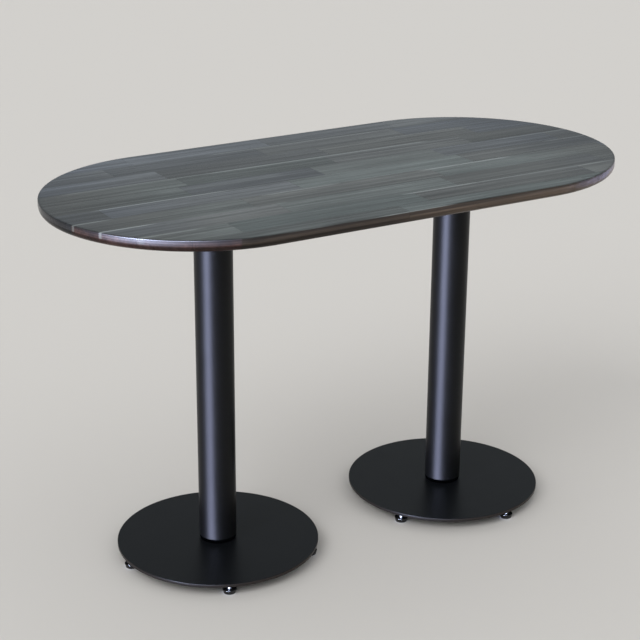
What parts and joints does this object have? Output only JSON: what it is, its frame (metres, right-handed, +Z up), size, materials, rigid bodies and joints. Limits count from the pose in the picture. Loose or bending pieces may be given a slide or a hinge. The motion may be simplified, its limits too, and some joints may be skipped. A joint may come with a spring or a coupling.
{
  "type": "cafe table",
  "caption": "Oval cafe table: a dark-stained wooden stadium top on steel tube pedestals with round base plates, cast spiders and screw-adjusted levelling feet.",
  "frame": {"origin": "on the floor under the middle of the tabletop", "axes": "+X along the tabletop's length, +Y across it, +Z up"},
  "size_m": [1.2, 0.6, 0.747],
  "materials": {
    "stained_wood": "edge-glued staves, dark stain, satin lacquer",
    "powder_coat": "satin black powder coat",
    "cast_iron": "black painted casting",
    "bare_steel": "sawn steel tube",
    "zinc": "bright zinc plate",
    "black_zinc": "black zinc plate",
    "black_plastic": "glossy moulded plastic"
  },
  "bodies": {
    "table": {"tabletop": "stained_wood", "left_base_plate": "powder_coat", "left_locating_ring": "bare_steel", "left_column": "powder_coat", "left_spider": "cast_iron", "left_tie_rod": "zinc", "left_lower_washer": "zinc", "left_lower_nut": "zinc", "left_upper_washer": "zinc", "left_upper_nut": "zinc", "left_wood_screw_1": "zinc", "left_wood_screw_2": "zinc", "left_wood_screw_3": "zinc", "left_wood_screw_4": "zinc", "left_foot_locknut_1": "black_zinc", "left_foot_locknut_2": "black_zinc", "left_foot_locknut_3": "black_zinc", "left_foot_locknut_4": "black_zinc", "left_foot_locknut_5": "black_zinc", "right_base_plate": "powder_coat", "right_locating_ring": "bare_steel", "right_column": "powder_coat", "right_spider": "cast_iron", "right_tie_rod": "zinc", "right_lower_washer": "zinc", "right_lower_nut": "zinc", "right_upper_washer": "zinc", "right_upper_nut": "zinc", "right_wood_screw_1": "zinc", "right_wood_screw_2": "zinc", "right_wood_screw_3": "zinc", "right_wood_screw_4": "zinc", "right_foot_locknut_1": "black_zinc", "right_foot_locknut_2": "black_zinc", "right_foot_locknut_3": "black_zinc", "right_foot_locknut_4": "black_zinc", "right_foot_locknut_5": "black_zinc"},
    "left_pad_1": {"left_foot_pad_1": "black_plastic"},
    "left_stud_1": {"left_foot_stud_1": "zinc"},
    "left_pad_2": {"left_foot_pad_2": "black_plastic"},
    "left_stud_2": {"left_foot_stud_2": "zinc"},
    "left_pad_3": {"left_foot_pad_3": "black_plastic"},
    "left_stud_3": {"left_foot_stud_3": "zinc"},
    "left_pad_4": {"left_foot_pad_4": "black_plastic"},
    "left_stud_4": {"left_foot_stud_4": "zinc"},
    "left_pad_5": {"left_foot_pad_5": "black_plastic"},
    "left_stud_5": {"left_foot_stud_5": "zinc"},
    "right_pad_1": {"right_foot_pad_1": "black_plastic"},
    "right_stud_1": {"right_foot_stud_1": "zinc"},
    "right_pad_2": {"right_foot_pad_2": "black_plastic"},
    "right_stud_2": {"right_foot_stud_2": "zinc"},
    "right_pad_3": {"right_foot_pad_3": "black_plastic"},
    "right_stud_3": {"right_foot_stud_3": "zinc"},
    "right_pad_4": {"right_foot_pad_4": "black_plastic"},
    "right_stud_4": {"right_foot_stud_4": "zinc"},
    "right_pad_5": {"right_foot_pad_5": "black_plastic"},
    "right_stud_5": {"right_foot_stud_5": "zinc"}
  },
  "joints": [
    {"name": "left_foot_1_height", "type": "slide", "parent": "table", "child": "left_pad_1", "axis": [0, 0, -1], "range_m": [-0.001, 0.0025]},
    {"name": "left_foot_1_turn", "type": "hinge", "parent": "left_pad_1", "child": "left_stud_1", "pos_m": [-0.11673, 0.10239, 0.0125], "axis": [0, 0, -1], "range_deg": [-289, 721]},
    {"name": "left_foot_2_height", "type": "slide", "parent": "table", "child": "left_pad_2", "axis": [0, 0, -1], "range_m": [-0.001, 0.0025]},
    {"name": "left_foot_2_turn", "type": "hinge", "parent": "left_pad_2", "child": "left_stud_2", "pos_m": [-0.32347, 0.18216, 0.0125], "axis": [0, 0, -1], "range_deg": [-289, 721]},
    {"name": "left_foot_3_height", "type": "slide", "parent": "table", "child": "left_pad_3", "axis": [0, 0, -1], "range_m": [-0.001, 0.0025]},
    {"name": "left_foot_3_turn", "type": "hinge", "parent": "left_pad_3", "child": "left_stud_3", "pos_m": [-0.46322, 0.01019, 0.0125], "axis": [0, 0, -1], "range_deg": [-289, 721]},
    {"name": "left_foot_4_height", "type": "slide", "parent": "table", "child": "left_pad_4", "axis": [0, 0, -1], "range_m": [-0.001, 0.0025]},
    {"name": "left_foot_4_turn", "type": "hinge", "parent": "left_pad_4", "child": "left_stud_4", "pos_m": [-0.34286, -0.17586, 0.0125], "axis": [0, 0, -1], "range_deg": [-289, 721]},
    {"name": "left_foot_5_height", "type": "slide", "parent": "table", "child": "left_pad_5", "axis": [0, 0, -1], "range_m": [-0.001, 0.0025]},
    {"name": "left_foot_5_turn", "type": "hinge", "parent": "left_pad_5", "child": "left_stud_5", "pos_m": [-0.12871, -0.11888, 0.0125], "axis": [0, 0, -1], "range_deg": [-289, 721]},
    {"name": "right_foot_1_height", "type": "slide", "parent": "table", "child": "right_pad_1", "axis": [0, 0, -1], "range_m": [-0.001, 0.0025]},
    {"name": "right_foot_1_turn", "type": "hinge", "parent": "right_pad_1", "child": "right_stud_1", "pos_m": [0.35615, 0.17014, 0.0125], "axis": [0, 0, -1], "range_deg": [-289, 721]},
    {"name": "right_foot_2_height", "type": "slide", "parent": "table", "child": "right_pad_2", "axis": [0, 0, -1], "range_m": [-0.001, 0.0025]},
    {"name": "right_foot_2_turn", "type": "hinge", "parent": "right_pad_2", "child": "right_stud_2", "pos_m": [0.13827, 0.12976, 0.0125], "axis": [0, 0, -1], "range_deg": [-289, 721]},
    {"name": "right_foot_3_height", "type": "slide", "parent": "table", "child": "right_pad_3", "axis": [0, 0, -1], "range_m": [-0.001, 0.0025]},
    {"name": "right_foot_3_turn", "type": "hinge", "parent": "right_pad_3", "child": "right_stud_3", "pos_m": [0.10934, -0.08994, 0.0125], "axis": [0, 0, -1], "range_deg": [-289, 721]},
    {"name": "right_foot_4_height", "type": "slide", "parent": "table", "child": "right_pad_4", "axis": [0, 0, -1], "range_m": [-0.001, 0.0025]},
    {"name": "right_foot_4_turn", "type": "hinge", "parent": "right_pad_4", "child": "right_stud_4", "pos_m": [0.30935, -0.18534, 0.0125], "axis": [0, 0, -1], "range_deg": [-289, 721]},
    {"name": "right_foot_5_height", "type": "slide", "parent": "table", "child": "right_pad_5", "axis": [0, 0, -1], "range_m": [-0.001, 0.0025]},
    {"name": "right_foot_5_turn", "type": "hinge", "parent": "right_pad_5", "child": "right_stud_5", "pos_m": [0.46189, -0.0246, 0.0125], "axis": [0, 0, -1], "range_deg": [-289, 721]}
  ],
  "couplings": [
    {"joint": "left_foot_1_turn", "follows": "left_foot_1_height", "rad_per_m": 5026.5},
    {"joint": "left_foot_2_turn", "follows": "left_foot_2_height", "rad_per_m": 5026.5},
    {"joint": "left_foot_3_turn", "follows": "left_foot_3_height", "rad_per_m": 5026.5},
    {"joint": "left_foot_4_turn", "follows": "left_foot_4_height", "rad_per_m": 5026.5},
    {"joint": "left_foot_5_turn", "follows": "left_foot_5_height", "rad_per_m": 5026.5},
    {"joint": "right_foot_1_turn", "follows": "right_foot_1_height", "rad_per_m": 5026.5},
    {"joint": "right_foot_2_turn", "follows": "right_foot_2_height", "rad_per_m": 5026.5},
    {"joint": "right_foot_3_turn", "follows": "right_foot_3_height", "rad_per_m": 5026.5},
    {"joint": "right_foot_4_turn", "follows": "right_foot_4_height", "rad_per_m": 5026.5},
    {"joint": "right_foot_5_turn", "follows": "right_foot_5_height", "rad_per_m": 5026.5}
  ]
}
